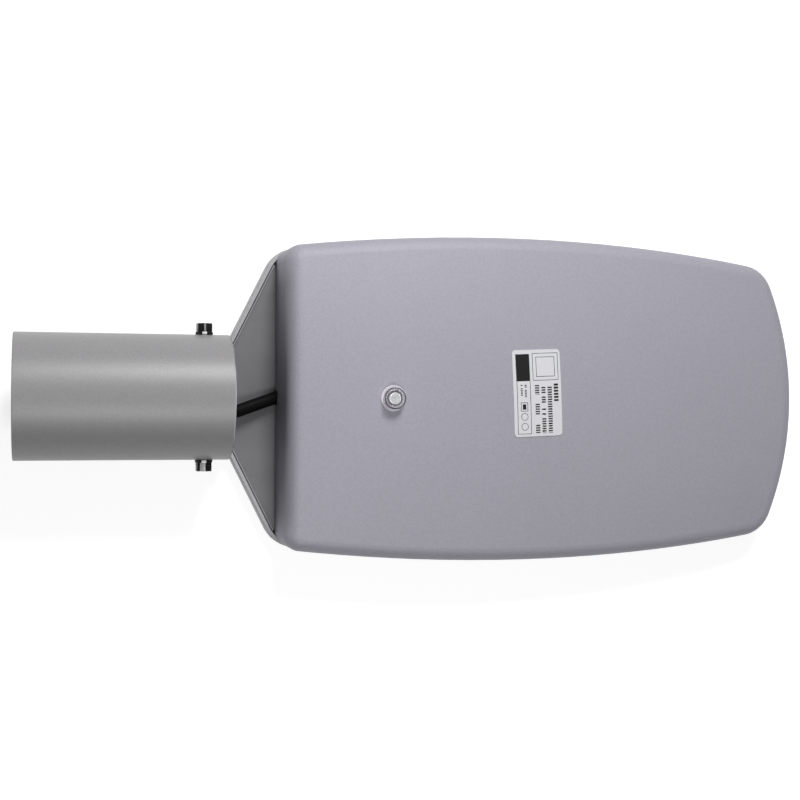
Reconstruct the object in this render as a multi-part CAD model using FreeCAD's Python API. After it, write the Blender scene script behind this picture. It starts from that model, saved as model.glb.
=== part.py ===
import FreeCAD, Part
import os
from math import acos, asin, cos, degrees, pi, radians, sin, sqrt, tan

# LED street light head, in millimetres.
# It is drawn standing on its flat underside, tube towards -X and nose towards +X, and is
# moved down at the end, so that the origin lies on the tube's axis at its open mouth.

# Arm tube
tube_outer_r = 33.0
tube_wall = 2.5
tube_length = 110.0
tube_axis_height = 43.0
tube_edge = 0.5
seat_depth = 30.0
seat_relief = 0.4

# Outline of the head, seen from above
neck_front_x = 108.0
neck_corner_r = 6.0
neck_side = (114.6, 32.0)
neck_angle = 63.4
shoulder_r = 18.0
side_r = 1090.0
widest_x = 279.0
half_width = 91.4
nose_x = 453.4
nose_r = 204.0
nose_corner_r = 20.0

# Crowned housing
rear_wall_x = 140.1
rear_draft = 2.0
rear_corner_r = 10.0
crown_height = 48.0
crown_x = 215.0
crown_long_r = 1500.0
crown_cross_r = 490.0
crown_edge_r = 9.0
crown_reach = 20.0
shell_wall = 3.0
seam = 0.6

# Bottom frame
frame_height = 11.0
frame_floor = 3.0
frame_edge_r = 2.0
rim_edge_r = 1.0
rim_wall = 2.3
ring_width = 9.5
pocket_step_x = 146.0
tube_cradle_gap = 0.3

# Sealing cord between frame and housing
gasket_inset = 3.4
gasket_width = 3.2
gasket_seat = 8.5
gasket_side_gap = 0.2
gasket_rear_x = 146.2

# Neck bracket
floor_height = 8.5
floor_thickness = 3.0
lip_gap = 0.6
lip_width = 0.8
lip_height = 1.7
lip_end_gap = 0.5
wall_foot_gap = 0.3
corner_relief_r = 2.0
corner_relief_at = (140.7, 75.8)
bracket_end_x = 188.0
bracket_half = 58.0
bracket_step_x = 153.0
foot_clear = 0.8
foot_thickness = 4.2
cheek_wall = 4.5
cheek_clear = 0.3
cheek_x = 84.0
cheek_top = 22.0
cheek_bottom = -58.0
foot_top = -28.0
seat_rib_width = 3.0
seat_rib_pitch = 30.0
seat_rib_x = (118.0, 138.0)

# Side bolts through the tube
side_bolt_x = 97.0
side_bolt_r = 2.5
side_bolt_flats = 8.0
side_bolt_head = 4.6
side_bolt_length = 12.0
side_bolt_dish_r = 2.6
side_bolt_dish = 0.8
washer_r = 4.6
washer_thickness = 1.4
washer_split = 0.9
bolt_clear = 0.25
screw_fit = 0.05

# Set bolts that grip the arm
set_bolt_x = (24.0, 62.0)
set_bolt_angle = 30.0
set_bolt_r = 4.0
set_bolt_flats = 13.0
set_bolt_head = 5.3
set_nut_height = 4.2
set_nut_sink = 1.0
set_bolt_standoff = 0.8

# Screws from below
frame_screw_x = (165.0, 238.0, 330.0, 412.0)
frame_screw_inset = 14.5
frame_screw_r = 2.5
frame_screw_head_r = 4.6
frame_screw_head = 3.2
frame_screw_sink = 4.0
frame_screw_length = 20.0
boss_r = 5.5
boss_tie = 2.5
socket_flats = 3.0
socket_depth = 1.6
bracket_screw_at = ((160.0, 46.0), (180.0, 46.0))
bracket_screw_length = 12.0

# Light opening
window_rear_x = 258.0
window_inset = 27.0
window_corner_r = 12.0
glass_lap = 3.0
glass_thickness = 4.0
gasket_skin = 1.0
glass_side = 1.4
glass_side_gap = 0.2

# Clips that hold the glass
clip_x = (285.0, 360.0)
clip_inset = 16.2
clip_reach = 9.6
clip_width = 10.0
clip_thickness = 1.2
clip_boss_r = 3.6
small_screw_r = 1.5
small_head_r = 2.8
small_head = 2.0
small_screw_length = 7.0

# Lamp module
module_x = 342.0
board_size = (116.0, 88.0)
board_thickness = 1.6
board_underside = 24.4
pad_margin = 2.0
pad_thickness = 4.0
fin_thickness = 2.5
fin_count = 5
lens_plate = 3.0
lens_rows = 4
lens_columns = 6
lens_pitch = (16.5, 18.0)
lens_r = 6.2
lens_lobe = 2.0
lens_drop = 4.2
lens_pocket = 2.2
lens_pocket_depth = 1.6
chip_size = 3.5
chip_height = 0.8
board_screw_edge = (4.7, 5.0)
board_screw_length = 9.0
module_clear = 0.1

# White surround of the lamps
surround_top = 1.2
surround_sheet = 1.4
surround_mouth_length = 134.0
surround_margin = 8.4
surround_throat_gap = 1.2
surround_corner = 10.0
surround_foot = 9.8
surround_collar = 17.5
surround_gap = 0.8

# Power supply
driver_x = (194.0, 246.0)
driver_half = 56.0
driver_height = 18.0
driver_top = 30.0
driver_edge = 1.5
driver_ear = 10.0
driver_ear_width = 16.0
driver_ear_thickness = 2.0
driver_boss_r = 4.5
driver_screw_r = 2.0
driver_screw_head_r = 3.6
driver_screw_head = 2.4
driver_screw_length = 9.0

# Terminals
terminal_size = (14.0, 34.0, 15.0)
terminal_at = (174.0, 22.5)
terminal_poles = 3
terminal_pitch = 10.0
terminal_screw_r = 2.0
terminal_screw_depth = 3.0
terminal_chamfer = 1.0
earth_at = (170.0, -20.0)
earth_screw_length = 5.0

# Supply cable
cable_r = 3.5
cable_rest = 0.3
cable_turns = ((128.0, -4.1, 13.5), (115.0, -8.8, 16.6), (103.0, -10.2, 18.4))
cable_end = (90.0, -10.5, 18.8)
core_r = 1.15
core_ring = 1.75
core_length = 7.0
grommet_neck = 0.7
grommet_flange_r = 6.3
grommet_depth = 5.5
grommet_recess = 0.4
grommet_fit = 0.1
inner_cable_end = 161.0
grip_x = 157.0
grip_width = 7.0
grip_wall = 1.8
grip_half = 13.0
grip_foot = 2.5
grip_screw_y = 9.0

# Light sensor on the crown
sensor_x = 199.0
sensor_base_r = 7.1
sensor_base_height = 1.2
sensor_cap_r = 6.0
sensor_cap_height = 5.4
sensor_cap_wall = 0.9
sensor_cap_edge_r = 2.0
sensor_seat_sink = 0.15
sensor_stem_r = 4.0
sensor_stem_length = 11.0
sensor_ring_r = 4.3
sensor_ring_height = 2.2
cell_r = 3.3
cell_height = 3.2
sensor_nut_flats = 12.0
sensor_nut_height = 4.0
sensor_nut_gap = 0.25

# Paper label
label_at = (282.5, 3.5)
label_size = (28.8, 48.6)
label_turn = 2.4
label_corner_r = 2.2
label_thickness = 0.25
label_bond = 0.1

# Leads inside
lead_r = 0.8
core_pitch = 2.1
lead_spacing = 1.8
lead_start = 0.9
lamp_lead_edge = (1.0, 6.0)
lamp_lead_step = 8.0

X = FreeCAD.Vector(1, 0, 0)
Y = FreeCAD.Vector(0, 1, 0)
Z = FreeCAD.Vector(0, 0, 1)
high = 90.0
wide = 130.0
overrun = 1.0

arm_r = tube_outer_r - tube_wall
seat_r = arm_r + seat_relief
cheek_r = seat_r - cheek_clear
housing_foot = frame_height + seam
glass_bottom = frame_floor + gasket_skin
glass_top = glass_bottom + glass_thickness
gasket_top = glass_top + gasket_skin
board_top = board_underside + board_thickness
cable_exit = (rear_wall_x, 0.0, floor_height + cable_r + cable_rest)


def V(x, y, z=0.0):
    return FreeCAD.Vector(x, y, z)


def cylinder(r, length, at, along=Z):
    return Part.makeCylinder(r, length, V(*at), along)


def box(x0, x1, y0, y1, z0, z1):
    return Part.makeBox(x1 - x0, y1 - y0, z1 - z0, V(x0, y0, z0))


def block(cx, cy, size_x, size_y, z0, z1):
    return box(cx - size_x / 2, cx + size_x / 2, cy - size_y / 2, cy + size_y / 2, z0, z1)


def prism(face, z0, z1):
    lifted = face.copy()
    lifted.translate(V(0, 0, z0))
    return lifted.extrude(V(0, 0, z1 - z0))


def join(shapes):
    whole = shapes[0]
    for shape in shapes[1:]:
        whole = whole.fuse(shape)
    return whole


def without(body, tools):
    for tool in tools:
        body = body.cut(tool)
    return body


def mirrored(shapes):
    return list(shapes) + [s.mirror(V(0, 0, 0), Y) for s in shapes]


def hexagon(flats, z0, z1, at=(0.0, 0.0), turn=0.0):
    corner_r = flats / sqrt(3)
    points = []
    for k in range(7):
        angle = radians(60 * k + turn)
        points.append(V(at[0] + corner_r * cos(angle), at[1] + corner_r * sin(angle)))
    return prism(Part.Face(Part.makePolygon(points)), z0, z1)


def save(name, shapes):
    pieces = shapes if isinstance(shapes, list) else [shapes]
    moved = []
    for piece in pieces:
        for solid in piece.Solids:
            lowered = solid.copy()
            lowered.translate(V(0, 0, -tube_axis_height))
            moved.append(lowered)
    for solid in moved:
        if not solid.isValid() or solid.Volume <= 0:
            raise ValueError(name + " has a bad solid")
    shape = moved[0] if len(moved) == 1 else Part.makeCompound(moved)
    shape.exportStep("parts/" + name + ".step")
    print(name, len(moved), "solids", round(sum(s.Volume for s in moved)), "mm3")


# Outline of the head: straight neck sides, then arcs that meet without a corner
def meet_circles(a, ra, b, rb):
    gap = b.sub(a)
    d = gap.Length
    along = (ra * ra - rb * rb + d * d) / (2 * d)
    across = sqrt(ra * ra - along * along)
    u = V(gap.x / d, gap.y / d)
    return a.add(u.multiply(along)).add(V(gap.y / d, -gap.x / d).multiply(across))


def arc(a, centre, r, b):
    mid = a.add(b).multiply(0.5).sub(centre)
    mid = mid.multiply(r / mid.Length).add(centre)
    return Part.Arc(a, mid, b).toShape()


def towards(centre, target, r):
    u = target.sub(centre)
    return centre.add(u.multiply(r / u.Length))


def outline(inset=0.0):
    """Face of the head's outline in the ground plane, drawn in by inset all round."""
    least = 0.8
    run = V(cos(radians(neck_angle)), sin(radians(neck_angle)))
    inward = V(run.y, -run.x)
    start = V(*neck_side).add(V(inward.x, inward.y).multiply(inset))
    side_centre = V(widest_x, half_width - side_r)
    nose_centre = V(nose_x - nose_r, 0)
    front_x = neck_front_x + inset

    r_neck = max(neck_corner_r - inset, least)
    neck_x = front_x + r_neck
    base = start.add(V(inward.x, inward.y).multiply(r_neck))
    neck_centre = V(neck_x, base.y + (neck_x - base.x) * run.y / run.x)

    r_shoulder = max(shoulder_r - inset, least)
    base = start.add(V(inward.x, inward.y).multiply(r_shoulder))
    reach = side_r - inset - r_shoulder
    gap = base.sub(side_centre)
    half = gap.dot(run)
    t = -half + sqrt(half * half - gap.dot(gap) + reach * reach)
    shoulder_centre = base.add(V(run.x, run.y).multiply(t))

    r_nose = max(nose_corner_r - inset, least)
    nose_corner = meet_circles(side_centre, side_r - inset - r_nose, nose_centre, nose_r - inset - r_nose)

    a = V(front_x, neck_centre.y)
    b = neck_centre.sub(V(inward.x, inward.y).multiply(r_neck))
    c = shoulder_centre.sub(V(inward.x, inward.y).multiply(r_shoulder))
    d = towards(side_centre, shoulder_centre, side_r - inset)
    e = towards(side_centre, nose_corner, side_r - inset)
    f = towards(nose_centre, nose_corner, nose_r - inset)
    tip = V(nose_x - inset, 0)

    half_edges = [
        arc(a, neck_centre, r_neck, b),
        Part.LineSegment(b, c).toShape(),
        arc(c, shoulder_centre, r_shoulder, d),
        arc(d, side_centre, side_r - inset, e),
        arc(e, nose_corner, r_nose, f),
    ]
    other = [edge.mirror(V(0, 0, 0), Y) for edge in half_edges]
    front = Part.LineSegment(V(a.x, -a.y), a).toShape()
    nose = Part.Arc(f, tip, V(f.x, -f.y)).toShape()
    edges = Part.__sortEdges__(half_edges + [nose] + other + [front])
    return Part.Face(Part.Wire(edges))


def side_y(x, inset=0.0):
    r = side_r - inset
    return half_width - side_r + sqrt(r * r - (x - widest_x) ** 2)


def slice_of(inset, x0, x1, z0, z1):
    return prism(outline(inset), z0, z1).common(box(x0, x1, -wide, wide, z0, z1))


# The crown: a cross arc swung about a far axis, so that it also falls away towards the nose
def under_crown(drop=0.0):
    r = crown_cross_r - drop
    top = crown_height - drop
    sag = r - sqrt(r * r - wide * wide)
    left, right = V(crown_x, -wide, top - sag), V(crown_x, wide, top - sag)
    section = Part.Face(Part.Wire([
        Part.Arc(left, V(crown_x, 0, top), right).toShape(),
        Part.LineSegment(right, V(crown_x, wide, -high)).toShape(),
        Part.LineSegment(V(crown_x, wide, -high), V(crown_x, -wide, -high)).toShape(),
        Part.LineSegment(V(crown_x, -wide, -high), left).toShape(),
    ]))
    swing = degrees(asin((nose_x - crown_x + crown_reach) / crown_long_r))
    axis_at = V(crown_x, 0, crown_height - crown_long_r)
    section.rotate(axis_at, Y, -swing)
    return section.revolve(axis_at, Y, 2 * swing)


def crown_z(x, y=0.0, drop=0.0):
    cross = sqrt((crown_cross_r - drop) ** 2 - y * y) - crown_cross_r
    reach = crown_long_r + cross
    return crown_height - crown_long_r + sqrt(reach * reach - (x - crown_x) ** 2)


def rear_cut(inset):
    """Everything ahead of the rear wall's plane, which leans back by its draft."""
    lean = high * tan(radians(rear_draft))
    x = rear_wall_x + inset
    points = [V(x, 0, 0), V(x + lean, 0, high), V(nose_x + 9, 0, high), V(nose_x + 9, 0, 0), V(x, 0, 0)]
    face = Part.Face(Part.makePolygon(points))
    face.translate(V(0, -wide, 0))
    return face.extrude(V(0, 2 * wide, 0))


def crowned_block(inset, z0):
    """Solid inside of the housing's outer form, drawn in by inset, with every upper edge rounded."""
    body = prism(outline(inset), z0, high).common(rear_cut(inset)).common(under_crown(inset)).removeSplitter()
    upright = []
    for edge in body.Edges:
        a, b = edge.Vertexes[0].Point, edge.Vertexes[-1].Point
        rear = max(a.x, b.x) < rear_wall_x + inset + 4
        if rear and abs(a.z - b.z) > 15:
            upright.append(edge)
    body = body.makeFillet(max(rear_corner_r - inset, 1.0), upright)
    crown = max((f for f in body.Faces if isinstance(f.Surface, Part.Toroid)), key=lambda f: f.Area)
    return body.makeFillet(max(crown_edge_r - inset, 0.8), crown.Edges)


def screw_places():
    places = []
    for x in frame_screw_x:
        y = side_y(x, frame_screw_inset)
        places += [(x, y), (x, -y)]
    return places


def clip_places():
    places = []
    for x in clip_x:
        y = side_y(x, clip_inset)
        places += [(x, y), (x, -y)]
    return places


def bracket_screw_places():
    return [(x, s * y) for x, y in bracket_screw_at for s in (1, -1)]


def driver_screw_places():
    x = (driver_x[0] + driver_x[1]) / 2
    return [(x, s * (driver_half + driver_ear / 2)) for s in (1, -1)]


def board_screw_places():
    x, y = board_size[0] / 2 - board_screw_edge[0], board_size[1] / 2 - board_screw_edge[1]
    return [(module_x + s * x, t * y) for s in (1, -1) for t in (1, -1)]


def screw_up(r, head_r, head, length, at, seat_z, flats):
    """Screw driven upwards: its head hangs below seat_z and has a socket."""
    x, y = at
    body = join([cylinder(head_r, head, (x, y, seat_z - head)), cylinder(r, length, (x, y, seat_z - 0.01))])
    rim = [e for e in body.Edges if abs(e.BoundBox.ZMax - (seat_z - head)) < 1e-6]
    body = body.makeFillet(head * 0.3, rim)
    return body.cut(hexagon(flats, seat_z - head - overrun, seat_z - head + socket_depth, at))


# Housing
def housing_shell():
    outer = crowned_block(0.0, housing_foot)
    inner = crowned_block(shell_wall, housing_foot - overrun)
    shell = outer.cut(inner)

    foot = slice_of(rim_wall + lip_gap, rear_wall_x, rear_wall_x + shell_wall, floor_height + wall_foot_gap, housing_foot + 2)
    ledge = slice_of(shell_wall - 1, rear_wall_x + 1, gasket_rear_x + gasket_width + 1.5, housing_foot, housing_foot + 5)
    inside = crowned_block(1.0, housing_foot)
    added = [foot.common(rear_cut(0.0)), ledge.common(inside)]

    posts = []
    for x, y in screw_places():
        posts.append(cylinder(boss_r, high, (x, y, frame_height)))
        out = 1 if y > 0 else -1
        edge_y = out * (side_y(x, 1.5))
        low, top = sorted((y, edge_y))
        posts.append(box(x - boss_tie / 2, x + boss_tie / 2, low, top, housing_foot, high))
    for x, y in bracket_screw_places():
        posts.append(cylinder(boss_r - 1, high, (x, y, floor_height)))
    for x, y in driver_screw_places():
        posts.append(cylinder(driver_boss_r, high, (x, y, driver_top)))
    posts.append(lamp_pad())
    for post in posts:
        head = post.common(crowned_block_low)
        added.append(head)
    shell = join([shell] + added)

    holes = [sensor_hole()]
    for x, y in screw_places():
        top = frame_screw_sink + frame_screw_length + 1
        holes.append(cylinder(frame_screw_r + screw_fit, top - frame_height, (x, y, frame_height - overrun)))
    for x, y in bracket_screw_places():
        holes.append(cylinder(frame_screw_r + screw_fit, bracket_screw_length, (x, y, floor_height - overrun)))
    for x, y in driver_screw_places():
        holes.append(cylinder(driver_screw_r + screw_fit, driver_screw_length, (x, y, driver_top - overrun)))
    for x, y in board_screw_places():
        depth = board_screw_length - board_thickness - lens_plate + 1
        holes.append(cylinder(small_screw_r + screw_fit, depth, (x, y, board_top - overrun)))
    holes.append(grommet_way())
    return without(shell, holes)


def lamp_pad():
    """Flat pad for the lamp board, tied to the crown by fins that carry its heat."""
    length, width = board_size[0] + 2 * pad_margin, board_size[1] + 2 * pad_margin
    pad = block(module_x, 0, length, width, board_top, board_top + pad_thickness)
    pitch = (width - fin_thickness) / (fin_count - 1)
    fins = []
    for k in range(fin_count):
        y = -width / 2 + fin_thickness / 2 + k * pitch
        fins.append(block(module_x, y, length, fin_thickness, board_top, high))
    return join([pad] + fins)


def sensor_hole():
    return cylinder(sensor_stem_r + 0.2, high, (sensor_x, 0, crown_height - 15))


def grommet_way():
    """Arched way for the cable's bush: narrow in the wall, wide behind it, open to the floor."""
    x, y, z = cable_exit
    narrow = arch(cable_r + grommet_neck + grommet_fit, x - 2, x + shell_wall + overrun, z)
    broad = arch(grommet_flange_r + grommet_fit, x + shell_wall, x + shell_wall + 12, z)
    return narrow.fuse(broad)


def arch(r, x0, x1, z):
    return cylinder(r, x1 - x0, (x0, 0, z), X).fuse(box(x0, x1, -r, r, floor_height - overrun, z))


# Frame
def gasket_path(extra):
    """The sealing cord's plan: along the outline, and straight across behind the rear wall."""
    z0, z1 = gasket_seat, housing_foot + overrun
    outer = slice_of(gasket_inset - extra, gasket_rear_x - extra, high * 9, z0, z1)
    inner = prism(outline(gasket_inset + gasket_width + extra), z0, z1)
    clear = box(gasket_rear_x + gasket_width + extra, high * 9, -wide, wide, z0, z1)
    return outer.cut(inner.common(clear))


def bottom_frame():
    body = prism(outline(), 0, frame_height)
    low = [e for e in body.Edges if e.BoundBox.ZMax < 0.001]
    body = body.makeFillet(frame_edge_r, low)
    top = [e for e in body.Edges if e.BoundBox.ZMin > frame_height - 0.001]
    body = body.makeFillet(rim_edge_r, top)
    neck_pocket = slice_of(rim_wall, neck_front_x, pocket_step_x, frame_floor, high)
    main_pocket = slice_of(ring_width, rear_wall_x, nose_x, frame_floor, high)
    groove = gasket_path(gasket_side_gap)
    window = prism(window_face(window_inset), -overrun, frame_floor + overrun)
    cradle = cylinder(tube_outer_r + tube_cradle_gap, tube_length + 2, (0, 0, tube_axis_height), X)
    body = without(body, [neck_pocket, main_pocket, groove, window, cradle])

    added = [cylinder(boss_r, frame_height - 1, (x, y, 1)) for x, y in screw_places()]
    added += [cylinder(clip_boss_r, gasket_top - 1, (x, y, 1)) for x, y in clip_places()]
    for k in (-1, 0, 1):
        y = k * seat_rib_pitch
        top = floor_height - floor_thickness
        added.append(box(seat_rib_x[0], seat_rib_x[1], y - seat_rib_width / 2, y + seat_rib_width / 2, 1, top))
    body = join([body] + added)

    holes = []
    for x, y in screw_places():
        holes.append(cylinder(frame_screw_r + bolt_clear, high, (x, y, -overrun)))
        holes.append(cylinder(frame_screw_head_r + bolt_clear, frame_screw_sink + overrun, (x, y, -overrun)))
    for x, y in clip_places():
        holes.append(cylinder(small_screw_r + screw_fit, gasket_top, (x, y, gasket_top - small_screw_length)))
    for x, y in bracket_screw_places():
        holes.append(cylinder(frame_screw_head_r + 1, frame_floor + 2, (x, y, -overrun)))
    return without(body, holes)


def window_face(inset):
    """Face of the light opening's outline at this inset from the head's outline."""
    rear = window_rear_x - (window_inset - inset)
    slab = slice_of(inset, rear, nose_x, 0, 1)
    upright = [e for e in slab.Edges if e.BoundBox.ZLength > 0.9 and e.BoundBox.XMax < rear + 0.01]
    slab = slab.makeFillet(window_corner_r + window_inset - inset, upright)
    for face in slab.Faces:
        if face.BoundBox.ZMax < 0.001:
            return face
    raise ValueError("the light opening has no lower face")


def frame_gasket():
    seal = gasket_path(0.0).common(box(0, high * 9, -wide, wide, gasket_seat, housing_foot))
    x, y, z = cable_exit
    return seal.cut(arch(grommet_flange_r + grommet_fit, x, x + 12, z)).removeSplitter()


# Neck bracket
def ring_sector(r_in, r_out, x0, x1, low, high_angle):
    """Part of a tube along X between two angles, counted up from the horizontal on the +Y side."""
    centre = V(0, 0, tube_axis_height)
    def at(r, angle):
        return V(0, r * cos(radians(angle)), r * sin(radians(angle))).add(centre)
    mid = (low + high_angle) / 2
    face = Part.Face(Part.Wire([
        Part.Arc(at(r_out, low), at(r_out, mid), at(r_out, high_angle)).toShape(),
        Part.LineSegment(at(r_out, high_angle), at(r_in, high_angle)).toShape(),
        Part.Arc(at(r_in, high_angle), at(r_in, mid), at(r_in, low)).toShape(),
        Part.LineSegment(at(r_in, low), at(r_out, low)).toShape(),
    ]))
    face.translate(V(x0, 0, 0))
    return face.extrude(V(x1 - x0, 0, 0))


def neck_bracket():
    under = floor_height - floor_thickness
    inset = rim_wall + lip_gap
    neck = slice_of(inset, neck_front_x, pocket_step_x - 0.4, under, floor_height)
    step = slice_of(ring_width + lip_gap, rear_wall_x, bracket_step_x, under, floor_height)
    tail = box(rear_wall_x, bracket_end_x, -bracket_half, bracket_half, under, floor_height)
    lip = slice_of(inset, neck_front_x, rear_wall_x - lip_end_gap, floor_height - 1, floor_height + lip_height)
    lip = lip.cut(prism(outline(inset + lip_width), 0, high))

    foot_x = tube_length + foot_clear
    cheeks = []
    for cheek in mirrored([
        ring_sector(cheek_r - cheek_wall, cheek_r, cheek_x, foot_x + foot_thickness, cheek_bottom, foot_top),
        ring_sector(cheek_r - cheek_wall, cheek_r, cheek_x, tube_length - 2, foot_top, cheek_top),
    ]):
        cheeks.append(cheek)
    inner_y = (cheek_r - cheek_wall) * cos(radians(cheek_bottom))
    outer_y = cheek_r * cos(radians(foot_top))
    foot_rise = tube_axis_height + cheek_r * sin(radians(foot_top))
    post = box(foot_x + 0.3, foot_x + foot_thickness, inner_y, outer_y, under, foot_rise)
    hollow = cylinder(cheek_r - cheek_wall, high, (cheek_x, 0, tube_axis_height), X)
    rim = prism(outline(), 0, frame_height + lip_gap).cut(prism(outline(inset), 0, high))
    post = without(post, [hollow, rim])
    body = join([neck, step, tail, lip] + cheeks + mirrored([post]))

    holes = []
    for side in (1, -1):
        start = (side_bolt_x, side * (cheek_r - cheek_wall - 2), tube_axis_height)
        holes.append(cylinder(side_bolt_r + screw_fit, cheek_wall + 6, start, V(0, side, 0)))
    for x, y in bracket_screw_places():
        holes.append(cylinder(frame_screw_r + bolt_clear, high, (x, y, 0)))
    for x, y in terminal_hole_places() + grip_screw_places():
        holes.append(cylinder(small_screw_r + screw_fit, high, (x, y, 0)))
    holes.append(cylinder(driver_screw_r + screw_fit, high, (earth_at[0], earth_at[1], 0)))
    for side in (1, -1):
        holes.append(cylinder(corner_relief_r, high, (corner_relief_at[0], side * corner_relief_at[1], 0)))
    return without(body, holes)


def terminal_hole_places():
    return [(terminal_at[0], terminal_at[1] + s * terminal_pitch / 2) for s in (1, -1)]


def grip_screw_places():
    return [(grip_x, grip_screw_y), (grip_x, -grip_screw_y)]


# Arm tube and its bolts
def mounting_tube():
    axis = (0, 0, tube_axis_height)
    tube = cylinder(tube_outer_r, tube_length, axis, X).cut(cylinder(arm_r, tube_length, axis, X))
    edges = [e for e in tube.Edges if e.BoundBox.XLength < 0.001]
    tube = tube.makeFillet(tube_edge, edges)
    seat = cylinder(seat_r, seat_depth + overrun, (tube_length - seat_depth, 0, tube_axis_height), X)
    tube = tube.cut(seat)
    holes = []
    for side in (1, -1):
        start = (side_bolt_x, side * (arm_r - 5), tube_axis_height)
        holes.append(cylinder(side_bolt_r + bolt_clear, 12, start, V(0, side, 0)))
    for x, side in set_bolt_places():
        place = cylinder(set_bolt_r + screw_fit, high, (0, 0, 0), V(0, 0, -1))
        holes.append(placed_radially(place, x, side))
    return without(tube, holes)


def side_bolt():
    """Bolt along +Z with its tip at the cheek, built at the origin; a corner of its head looks up when it is fitted."""
    seat = tube_outer_r + washer_thickness
    head = hexagon(side_bolt_flats, seat, seat + side_bolt_head, turn=30)
    corner_r = side_bolt_flats / sqrt(3)
    dome = Part.makeCone(corner_r + side_bolt_head, corner_r - 0.55, side_bolt_head + 0.55, V(0, 0, seat))
    head = head.common(dome)
    shank = cylinder(side_bolt_r, side_bolt_length, (0, 0, seat - side_bolt_length + 0.01))
    dish = Part.makeCone(side_bolt_dish_r - side_bolt_dish, side_bolt_dish_r, side_bolt_dish,
                         V(0, 0, seat + side_bolt_head - side_bolt_dish))
    return join([head, shank]).cut(dish)


def spring_washer():
    ring = cylinder(washer_r, washer_thickness, (0, 0, tube_outer_r))
    ring = ring.cut(cylinder(side_bolt_r + bolt_clear, high, (0, 0, 0)))
    slot = box(0, washer_r + 1, -washer_split / 2, washer_split / 2, 0, high)
    slot.rotate(V(0, 0, 0), Z, 200)
    return ring.cut(slot)


def to_side(shape, side):
    placed = shape.copy()
    placed.rotate(V(0, 0, 0), X, -90 * side)
    placed.translate(V(side_bolt_x, 0, tube_axis_height))
    return placed


def set_bolt_places():
    return [(x, side) for x in set_bolt_x for side in (1, -1)]


def placed_radially(shape, x, side):
    """Turns a shape that hangs along -Z out to one side and moves it onto the tube."""
    placed = shape.copy()
    placed.rotate(V(0, 0, 0), X, side * set_bolt_angle)
    placed.translate(V(x, 0, tube_axis_height))
    return placed


def set_nut():
    nut = hexagon(set_bolt_flats, -(tube_outer_r + set_nut_height), -(tube_outer_r - set_nut_sink))
    bore = cylinder(set_bolt_r + screw_fit, high, (0, 0, -high))
    return without(nut, [bore, cylinder(tube_outer_r, high, (-high / 2, 0, 0), X)])


def set_bolt():
    seat = tube_outer_r + set_nut_height + set_bolt_standoff
    head = hexagon(set_bolt_flats, -(seat + set_bolt_head), -seat)
    corner_r = set_bolt_flats / sqrt(3)
    dome = Part.makeCone(corner_r - 1.0, corner_r + set_bolt_head, set_bolt_head + 1.0, V(0, 0, -(seat + set_bolt_head)))
    shank = cylinder(set_bolt_r, seat - arm_r + 0.01, (0, 0, -seat - 0.01))
    tip = [e for e in shank.Edges if e.BoundBox.ZMin > -arm_r - 0.001]
    shank = shank.makeChamfer(0.6, tip)
    return join([head.common(dome), shank])


# Glass and what holds it
def cover_glass():
    glass = prism(window_face(window_inset - glass_lap), glass_bottom, glass_top)
    edges = [e for e in glass.Edges if e.BoundBox.ZLength < 0.001]
    return glass.makeChamfer(0.4, edges)


def glass_gasket():
    outer = window_face(window_inset - glass_lap - glass_side)
    whole = prism(outer, frame_floor, gasket_top)
    groove = prism(window_face(window_inset - glass_lap - glass_side_gap), glass_bottom, glass_top)
    opening = prism(window_face(window_inset), 0, high)
    return without(whole, [groove, opening])


def glass_clips():
    clips = []
    for x, y in clip_places():
        side = 1 if y > 0 else -1
        low, top = sorted((y + side * (clip_boss_r - 0.4), y - side * clip_reach))
        plate = block(x, (low + top) / 2, clip_width, top - low, gasket_top, gasket_top + clip_thickness)
        corners = [e for e in plate.Edges if e.BoundBox.ZLength > clip_thickness / 2]
        plate = plate.makeFillet(2.0, corners)
        clips.append(plate.cut(cylinder(small_screw_r + 0.2, high, (x, y, 0))))
    return clips


def clip_screws():
    screws = []
    for x, y in clip_places():
        seat = gasket_top + clip_thickness
        screw = screw_up(small_screw_r, small_head_r, small_head, small_screw_length, (0, 0), 0, socket_flats * 0.6)
        screw.rotate(V(0, 0, 0), X, 180)
        screw.translate(V(x, y, seat))
        screws.append(screw)
    return screws


# Lamp module
def lens_places():
    places = []
    for i in range(lens_columns):
        for j in range(lens_rows):
            x = module_x + (i - (lens_columns - 1) / 2) * lens_pitch[0]
            y = (j - (lens_rows - 1) / 2) * lens_pitch[1]
            places.append((x, y))
    return places


def led_board():
    board = block(module_x, 0, board_size[0], board_size[1], board_underside, board_top)
    corners = [e for e in board.Edges if e.BoundBox.ZLength > board_thickness / 2]
    board = board.makeFillet(3.0, corners)
    return without(board, [cylinder(small_screw_r + 0.2, high, (x, y, 0)) for x, y in board_screw_places()])


def led_chips():
    return [block(x, y, chip_size, chip_size, board_underside - chip_height, board_underside) for x, y in lens_places()]


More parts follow.
